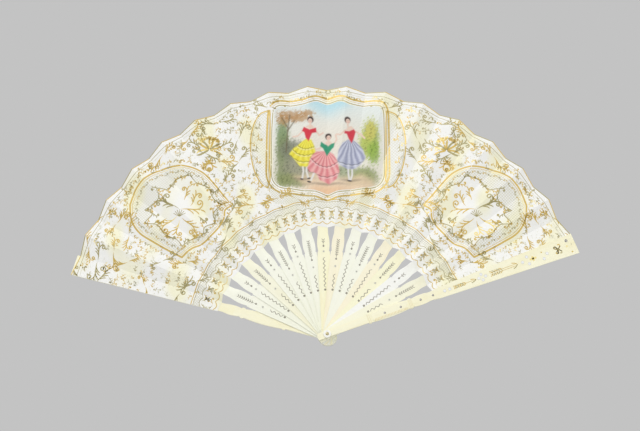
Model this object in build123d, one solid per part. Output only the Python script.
from build123d import *
from math import cos, radians, sin, sqrt
import os

# A folding hand fan: two guards and fifteen sticks of bone on one rivet, and a pleated paper leaf.
#
# The fan stands open and upright. X runs to the right, Z up and the front looks along -Y. The origin
# is the middle of the rivet. Each stick has a frame of its own: u runs out along the stick from the
# rivet, v runs across it towards the rear guard's side, and height is counted from the back face of
# the rear guard towards the viewer.

# ---- driving sizes, in millimetres and degrees ----
STICKS = 15               # inner sticks, between the two guards
REAR_GUARD_ANGLE = 164.4  # direction of the rear guard, anticlockwise from +X
FAN_SPREAD = 143.7        # angle from the rear guard to the front guard

GUARD_LENGTH = 263.5      # rivet to tip
GUARD_TIP_WIDTH = 21.0
GUARD_PLATE_WIDTH = 10.6  # width where the straight plate starts
GUARD_HEAD_WIDTH = 6.4    # width at the rivet
GUARD_NECK_WIDTH = 7.6    # under the lower ring
LOWER_RING_WIDTH = 10.2
BALUSTER_END_WIDTH = 8.8
BALUSTER_WIDTH = 11.2
UPPER_RING_WIDTH = 10.6
NOTCH_WIDTH = 8.3         # between the upper ring and the waist's bump
BUMP_WIDTH = 10.2
WAIST_WIDTH = 8.5
WAIST_MIDDLE_WIDTH = 8.8
WAIST_END_WIDTH = 9.9     # just before the step out to the plate
GUARD_THICKNESS = 2.4     # from the head to the waist
GUARD_LEAF_THICKNESS = 1.2  # beside the leaf, where the inner face steps back
HEAD_RADIUS = 10.0        # rounded tails of guards and sticks, about the rivet

STICK_THICKNESS = 0.85
STICK_GAP = 0.15          # between neighbouring sticks
GUARD_GAP = 0.35          # between a guard and the stick beside it
STICK_HEAD_WIDTH = 9.8
STICK_SHOULDER_WIDTH = 12.5
STICK_BULGE_WIDTH = 12.4
STICK_TWIST_WIDTH = 11.9  # where the neck starts to turn
STICK_NECK_WIDTH = 10.3
STICK_TOP_WIDTH = 10.5    # where the neck has turned
STICK_RISER_WIDTH = 9.1   # just inside the leaf
NOTCH_CUT = (0.15, 0.95)  # how far each side of a stick steps in, before and after the notch
NOTCH_RUN = (4.0, 0.3)    # length of the slope before the notch, and of the notch

RIB_THICKNESS = 0.30      # thin strip of the stick between the two papers
RIB_START_WIDTH = 4.4
RIB_END_WIDTH = 3.0

LEAF_INNER_RADIUS = 111.4  # rivet to the leaf's inner edge, at the raised folds
LEAF_OUTER_RADIUS = GUARD_LENGTH - 0.2  # rivet to the leaf's outer edge, at the raised folds
LEAF_INNER_WIDTH = 10.2    # width of a leaf panel at its inner edge
LEAF_OUTER_WIDTH = 20.6    # and at its outer edge
LEAF_INNER_SLANT = 1.4     # how much shorter the sunk folds are cut
LEAF_OUTER_SLANT = 2.6
LEAF_RELIEF = 5.8          # height of a panel's raised edge over its sunk edge, at the outer edge
PAPER = 0.12               # each of the leaf's two papers
FOLD_GAP = 0.10            # between a folding panel and the panel that it turns on
PACK_ROOM = 0.30           # room for folded paper between a guard and the nearest panel

PIN_RADIUS = 1.30
BORE_CLEARANCE = 0.05      # radial, round the pin
WASHER_RADIUS = 3.8
WASHER_THICKNESS = 0.9
WASHER_RIM = 0.36          # radius of its rounded rims
WASHER_GAP = 0.05          # between the front washer and the front guard
PIN_DOME = 0.5             # height of the pin's rounded ends over the washers
PIN_DOME_RADIUS = PIN_RADIUS + 0.4

STEEL_PIN_RADIUS = 1.15    # small steel studs on the guards
TIP_STUD_RADIUS = 1.6
STUD_DEPTH = 0.6
STUD_DOME = 0.35
DISC_RADIUS = 1.35         # mother-of-pearl discs on the guards
DISC_DEPTH = 0.4
DISC_STAND = 0.12          # how far a disc stands proud of the guard

# ---- places along a stick or a guard, from the rivet ----
NOTCH_AT = LEAF_INNER_RADIUS - 26.6    # the small step under a stick's bulge
BULGE_AT = LEAF_INNER_RADIUS - 18.4
TWIST_FROM = LEAF_INNER_RADIUS - 13.4  # where a stick starts to turn to the slope of its leaf panel
NECK_AT = LEAF_INNER_RADIUS - 7.6
TWIST_TO = LEAF_INNER_RADIUS - 2.0     # where it has turned, just under the leaf's inner edge
SHOULDER_END = LEAF_INNER_RADIUS + 1.6
RIB_FROM = LEAF_INNER_RADIUS + 6.6
RIB_TO = LEAF_OUTER_RADIUS - 8.3
GUARD_STEP_AT = TWIST_FROM - 2.0       # where the guards' inner faces step back
LOWER_RING = (41.5, 45.2)
PLATE_FROM = LEAF_INNER_RADIUS + 3.6
PLATE_STEP = 0.4           # length of the step out to the plate's width
WAIST_AT = PLATE_FROM - 8.5
WAIST_BUMP_AT = PLATE_FROM - 18.0
UPPER_RING = (PLATE_FROM - 30.4, PLATE_FROM - 26.0)
RING_STAND = 0.45          # how far rings and baluster stand over the guard's face
RING_INSET = 0.2           # from a guard's side to the side of its raised ring
RING_MARGIN = 0.4          # from a ring's end to the end of its raised part
BALUSTER_INSET = 0.9
BALUSTER_MARGIN = 1.0
BAND_BEVEL = 0.3
BAND_ROOT = 0.2            # how far a raised part reaches into the guard
STEEL_PINS = [
    (LOWER_RING[1] + 14.6, 0.0), (UPPER_RING[0] - 8.1, 0.0),
    (WAIST_BUMP_AT + 0.4, 0.0), (PLATE_FROM - 4.5, 0.0),
]
TIP_STUD = (GUARD_LENGTH - 7.5, 5.4)
DISCS_ON_PLATE = [(8.0, 0.0), (13.3, 0.0), (44.4, 0.0), (47.8, 2.9), (47.8, -2.9), (51.6, 0.0)]
DISCS_FROM_TIP = [(57.1, 0.0), (51.2, 3.7), (51.2, -3.7), (35.4, -3.9), (30.5, 0.0)]
DISCS = [(PLATE_FROM + u, v) for u, v in DISCS_ON_PLATE]
DISCS += [(GUARD_LENGTH - u, v) for u, v in DISCS_FROM_TIP]

# ---- worked out ----
PITCH = FAN_SPREAD / (STICKS + 1)
LAST = STICKS + 1
LAYER = STICK_THICKNESS + STICK_GAP
FIRST_STICK = GUARD_THICKNESS + GUARD_GAP + STICK_THICKNESS / 2
STACK = 2 * (GUARD_THICKNESS + GUARD_GAP) + STICKS * LAYER - STICK_GAP
PANEL_HALF = RIB_THICKNESS / 2 + PAPER
FIRST_PANEL = GUARD_LEAF_THICKNESS + 2 * PAPER + PACK_ROOM + PANEL_HALF + LEAF_RELIEF / 2
PANEL_LAYER = (STACK - 2 * FIRST_PANEL) / (STICKS - 1)
SLOPE = LEAF_RELIEF / LEAF_OUTER_WIDTH
BORE_RADIUS = PIN_RADIUS + BORE_CLEARANCE


def frame_of(k):
    """The frame of guard or stick k: u, v and height from the rear guard's back face."""
    a = radians(REAR_GUARD_ANGLE - PITCH * k)
    return Plane(origin=(0, STACK / 2, 0), x_dir=(cos(a), 0, sin(a)), z_dir=(0, -1, 0)).location


def stick_height(k):
    """Height of the middle of stick k at its flat blade."""
    return FIRST_STICK + LAYER * (k - 1)


def rib_height(k, u):
    """Height of the middle of stick k, which leans from its own layer to its leaf panel's."""
    lean = (FIRST_PANEL + PANEL_LAYER * (k - 1) - stick_height(k)) / (LEAF_OUTER_RADIUS - TWIST_FROM)
    return stick_height(k) + lean * max(0.0, u - TWIST_FROM)


def prism(points, up):
    """A solid from a flat polygon of (u, v, height) points, thickened along height."""
    return Solid.extrude(Face(Wire.make_polygon([Vector(*p) for p in points])), Vector(0, 0, up))


def turned_half(outline, from_u, to_u):
    """A closed face from one side's curves, mirrored to the other side and closed at both ends."""
    other = [edge.mirror(Plane.XZ) for edge in outline]
    tail = ThreePointArc((from_u[0], from_u[1]), (-HEAD_RADIUS, 0), (from_u[0], -from_u[1]))
    tip = Line((to_u[0], to_u[1]), (to_u[0], -to_u[1]))
    return Face(Wire([tail.edge(), tip.edge()] + [e.edge() for e in outline] + [e.edge() for e in other]))


def tail_corner(width):
    """Where a tail's rounded end meets a side of this width."""
    return -sqrt(HEAD_RADIUS**2 - (width / 2) ** 2), width / 2


def bore():
    """The rivet's hole through any piece of the stack."""
    return Solid.make_cylinder(BORE_RADIUS, STACK + 4, Plane(origin=(0, 0, -2)))


# ---- guards ----
def guard_outline():
    """One guard seen from its face: head, rings, baluster, waist and long plate."""
    corner = tail_corner(GUARD_HEAD_WIDTH)
    low, high = LOWER_RING, UPPER_RING
    start, end = (low[1], BALUSTER_END_WIDTH / 2), (high[0], BALUSTER_END_WIDTH / 2)
    neck, notch = (low[0], GUARD_NECK_WIDTH / 2), (high[1], NOTCH_WIDTH / 2)
    waist, step = (WAIST_AT, WAIST_WIDTH / 2), (PLATE_FROM, WAIST_END_WIDTH / 2)
    plate, tip = (PLATE_FROM + PLATE_STEP, GUARD_PLATE_WIDTH / 2), (GUARD_LENGTH, GUARD_TIP_WIDTH / 2)
    side = [
        Line(corner, (0, GUARD_HEAD_WIDTH / 2)),
        Line((0, GUARD_HEAD_WIDTH / 2), neck),
        ThreePointArc(neck, ((low[0] + low[1]) / 2, LOWER_RING_WIDTH / 2), start),
        ThreePointArc(start, ((low[1] + high[0]) / 2, BALUSTER_WIDTH / 2), end),
        ThreePointArc(end, ((high[0] + high[1]) / 2, UPPER_RING_WIDTH / 2), notch),
        ThreePointArc(notch, (WAIST_BUMP_AT, BUMP_WIDTH / 2), waist),
        ThreePointArc(waist, ((WAIST_AT + PLATE_FROM) / 2, WAIST_MIDDLE_WIDTH / 2), step),
        Line(step, plate),
        Line(plate, tip),
    ]
    return turned_half(side, corner, tip)


def raised_band(outline, ends, margin, inset):
    """A raised stretch of the guard's outer face, with its long edges rounded off."""
    length = ends[1] - ends[0] - 2 * margin
    box = Pos((ends[0] + ends[1]) / 2, 0, 0) * Box(length, 3 * GUARD_TIP_WIDTH, 2)
    flat = Pos(0, 0, -RING_STAND) * (offset(outline, -inset) & box).face()
    band = Solid.extrude(flat, Vector(0, 0, RING_STAND + BAND_ROOT))
    rim = band.faces().sort_by(Axis.Z)[0].edges()
    return band.chamfer(BAND_BEVEL, None, rim)


def guard_body():
    """A guard in its own frame, with its outer face at height 0 and its inner face above it."""
    outline = guard_outline()
    body = Solid.extrude(outline, Vector(0, 0, GUARD_THICKNESS))
    length = GUARD_LENGTH + 1 - GUARD_STEP_AT
    depth = GUARD_THICKNESS - GUARD_LEAF_THICKNESS
    step = Box(length, GUARD_TIP_WIDTH + 2, depth)
    body -= Pos(GUARD_STEP_AT + length / 2, 0, GUARD_THICKNESS - depth / 2) * step
    body += raised_band(outline, LOWER_RING, RING_MARGIN, RING_INSET)
    body += raised_band(outline, UPPER_RING, RING_MARGIN, RING_INSET)
    body += raised_band(outline, (LOWER_RING[1], UPPER_RING[0]), BALUSTER_MARGIN, BALUSTER_INSET)
    for u, v in STEEL_PINS:
        body -= socket(u, v, STEEL_PIN_RADIUS, guard_face(u), STUD_DEPTH)
    body -= socket(*TIP_STUD, TIP_STUD_RADIUS, 0, STUD_DEPTH)
    for u, v in DISCS:
        body -= socket(u, v, DISC_RADIUS, 0, DISC_DEPTH)
    return body - bore()


def socket(u, v, radius, face, depth):
    """The round hole for a stud or disc, cut from above a face down to its depth."""
    return Solid.make_cylinder(radius, depth + 1, Plane(origin=(u, v, face - 1)))


def guard_face(u):
    """Height of a guard's outer face at u: the baluster stands proud of the rest."""
    return -RING_STAND if LOWER_RING[1] < u < UPPER_RING[0] else 0.0


def stud(u, v, radius):
    """A domed steel stud set into the guard's outer face."""
    face = guard_face(u)
    shank = Solid.make_cylinder(radius, STUD_DEPTH, Plane(origin=(u, v, face)))
    ball = (radius**2 + STUD_DOME**2) / (2 * STUD_DOME)
    dome = Pos(u, v, face - STUD_DOME + ball) * Sphere(ball)
    return shank + (dome & Pos(u, v, face - radius) * Box(*[2 * radius] * 3))


def guard_studs():
    return [stud(u, v, STEEL_PIN_RADIUS) for u, v in STEEL_PINS] + [stud(*TIP_STUD, TIP_STUD_RADIUS)]


def guard_discs():
    depth = DISC_DEPTH + DISC_STAND
    return [
        Solid.make_cylinder(DISC_RADIUS, depth, Plane(origin=(u, v, -DISC_STAND)))
        for u, v in DISCS
    ]


def to_front(shape):
    """The front guard's pieces are the rear guard's, mirrored through the middle of the stack."""
    return shape.mirror(Plane.XY.offset(STACK / 2))


# ---- sticks ----
def stick_outline():
    """The flat blade of a stick: rounded tail, widening sides, notch and start of the bulge."""
    corner = tail_corner(STICK_HEAD_WIDTH)
    wide = STICK_SHOULDER_WIDTH / 2
    shoulder = (NOTCH_AT - NOTCH_RUN[0], wide)
    lip, notch = (NOTCH_AT, wide - NOTCH_CUT[0]), (NOTCH_AT + NOTCH_RUN[1], wide - NOTCH_CUT[1])
    end = (TWIST_FROM, STICK_TWIST_WIDTH / 2)
    side = [
        Line(corner, (0, STICK_HEAD_WIDTH / 2)),
        Line((0, STICK_HEAD_WIDTH / 2), shoulder),
        Line(shoulder, lip),
        Line(lip, notch),
        ThreePointArc(notch, (BULGE_AT, STICK_BULGE_WIDTH / 2), end),
    ]
    return turned_half(side, corner, end)


def neck_section(k, u, width, thickness, slope):
    """The outline of stick k across its neck: a strip that leans by slope from side to side."""
    mid, half, t = rib_height(k, u), width / 2, thickness / 2
    rise = half * slope
    return Wire.make_polygon([
        Vector(u, half, mid + rise + t), Vector(u, half, mid + rise - t),
        Vector(u, -half, mid - rise - t), Vector(u, -half, mid - rise + t),
    ])


def stick(k):
    """Stick k: flat blade, neck that turns to its panel's slope, and thin rib between the papers."""
    low = stick_height(k) - STICK_THICKNESS / 2
    blade = Pos(0, 0, low) * Solid.extrude(stick_outline(), Vector(0, 0, STICK_THICKNESS))
    turning = Solid.make_loft([
        neck_section(k, TWIST_FROM, STICK_TWIST_WIDTH, STICK_THICKNESS, 0),
        neck_section(k, NECK_AT, STICK_NECK_WIDTH, (STICK_THICKNESS + RIB_THICKNESS) / 2, SLOPE / 2),
        neck_section(k, TWIST_TO, STICK_TOP_WIDTH, RIB_THICKNESS, SLOPE),
    ], ruled=True)
    side = [
        (TWIST_TO, STICK_TOP_WIDTH / 2), (SHOULDER_END, STICK_RISER_WIDTH / 2),
        (RIB_FROM, RIB_START_WIDTH / 2), (RIB_TO, RIB_END_WIDTH / 2),
    ]
    both = side + [(u, -v) for u, v in reversed(side)]
    under = [(u, v, rib_height(k, u) + v * SLOPE - RIB_THICKNESS / 2) for u, v in both]
    return blade + turning + prism(under, RIB_THICKNESS) - bore()


# ---- leaf ----
def fold_point(k, side, outer, sheet):
    """A corner of leaf panel k, on the back of one of its papers, in the fan's own frame.

    side is 1 at the raised fold and -1 at the sunk one; sheet is 0 for the back paper and 1 for
    the front one.
    """
    if outer:
        u, v = LEAF_OUTER_RADIUS - (0 if side > 0 else LEAF_OUTER_SLANT), side * LEAF_OUTER_WIDTH / 2
    else:
        u, v = LEAF_INNER_RADIUS - (0 if side > 0 else LEAF_INNER_SLANT), side * LEAF_INNER_WIDTH / 2
    if k == 0:
        height = GUARD_LEAF_THICKNESS + sheet * PAPER
    elif k == LAST:
        height = STACK - GUARD_LEAF_THICKNESS - (2 - sheet) * PAPER
    else:
        height = rib_height(k, u) + v * SLOPE + (RIB_THICKNESS / 2 if sheet else -PANEL_HALF)
    return (frame_of(k) * Pos(u, v, height)).position


def sheet_between(inner_a, outer_a, inner_b, outer_b):
    """A sheet of paper over four corners, bent along one diagonal where they don't lie flat."""
    towards_viewer = Vector(0, -PAPER, 0)
    one = Face(Wire.make_polygon([inner_a, outer_a, outer_b]))
    other = Face(Wire.make_polygon([inner_a, outer_b, inner_b]))
    return Solid.extrude(one, towards_viewer) + Solid.extrude(other, towards_viewer)


def leaf_panel(k):
    """The two papers of the panel on guard or stick k."""
    return [
        sheet_between(
            fold_point(k, 1, False, s), fold_point(k, 1, True, s),
            fold_point(k, -1, False, s), fold_point(k, -1, True, s),
        )
        for s in (0, 1)
    ]


def leaf_fold(k):
    """The two papers of the panel that folds between panel k - 1 and panel k."""
    sheets = []
    for s in (0, 1):
        inner_b, outer_b = fold_point(k, 1, False, s), fold_point(k, 1, True, s)
        inner_a, outer_a = fold_point(k - 1, -1, False, s), fold_point(k - 1, -1, True, s)
        inner_a += (inner_b - inner_a).normalized() * FOLD_GAP
        outer_a += (outer_b - outer_a).normalized() * FOLD_GAP
        sheets.append(sheet_between(inner_a, outer_a, inner_b, outer_b))
    return sheets


# ---- rivet ----
def washer(low):
    """A bone washer round the pin, with rounded rims."""
    ring = Solid.make_cylinder(WASHER_RADIUS, WASHER_THICKNESS, Plane(origin=(0, 0, low)))
    ring = ring.fillet(WASHER_RIM, ring.edges().filter_by(GeomType.CIRCLE))
    return ring - Solid.make_cylinder(PIN_RADIUS, WASHER_THICKNESS + 2, Plane(origin=(0, 0, low - 1)))


def pin():
    """The rivet's pin, hammered to a dome over each washer."""
    low, high = -WASHER_THICKNESS, STACK + WASHER_GAP + WASHER_THICKNESS
    shank = Solid.make_cylinder(PIN_RADIUS, high - low, Plane(origin=(0, 0, low)))
    ball = (PIN_DOME_RADIUS**2 + PIN_DOME**2) / (2 * PIN_DOME)
    for face, way in ((low, -1), (high, 1)):
        dome = Pos(0, 0, face + way * (PIN_DOME - ball)) * Sphere(ball)
        shank += dome & Pos(0, 0, face + way * WASHER_RADIUS) * Box(*[2 * WASHER_RADIUS] * 3)
    return shank


def fan():
    """Every node of the fan, as a list of solids in the fan's own frame."""
    nodes = {
        "rear_guard": (0, [guard_body()]),
        "rear_guard_studs": (0, guard_studs()),
        "rear_guard_discs": (0, guard_discs()),
        "front_guard": (LAST, [to_front(guard_body())]),
        "front_guard_studs": (LAST, [to_front(s) for s in guard_studs()]),
        "front_guard_discs": (LAST, [to_front(s) for s in guard_discs()]),
        "rivet_pin": (0, [pin()]),
        "rear_washer": (0, [washer(-WASHER_THICKNESS)]),
        "front_washer": (0, [washer(STACK + WASHER_GAP)]),
    }
    for k in range(1, LAST):
        nodes[f"stick_{k:02d}"] = (k, [stick(k)])
    placed = {name: [frame_of(k) * s for s in solids] for name, (k, solids) in nodes.items()}
    for k in range(0, LAST + 1):
        placed[f"leaf_panel_{k:02d}"] = leaf_panel(k)
    for k in range(1, LAST + 1):
        placed[f"leaf_fold_{k:02d}"] = leaf_fold(k)
    return placed


def write(nodes):
    os.makedirs("parts", exist_ok=True)
    for name, solids in nodes.items():
        loose = [s for piece in solids for s in piece.solids()]
        export_step(loose[0] if len(loose) == 1 else Compound(children=loose), f"parts/{name}.step")
        print(name, len(loose), round(sum(s.volume for s in loose), 2))


if __name__ == "__main__":
    write(fan())
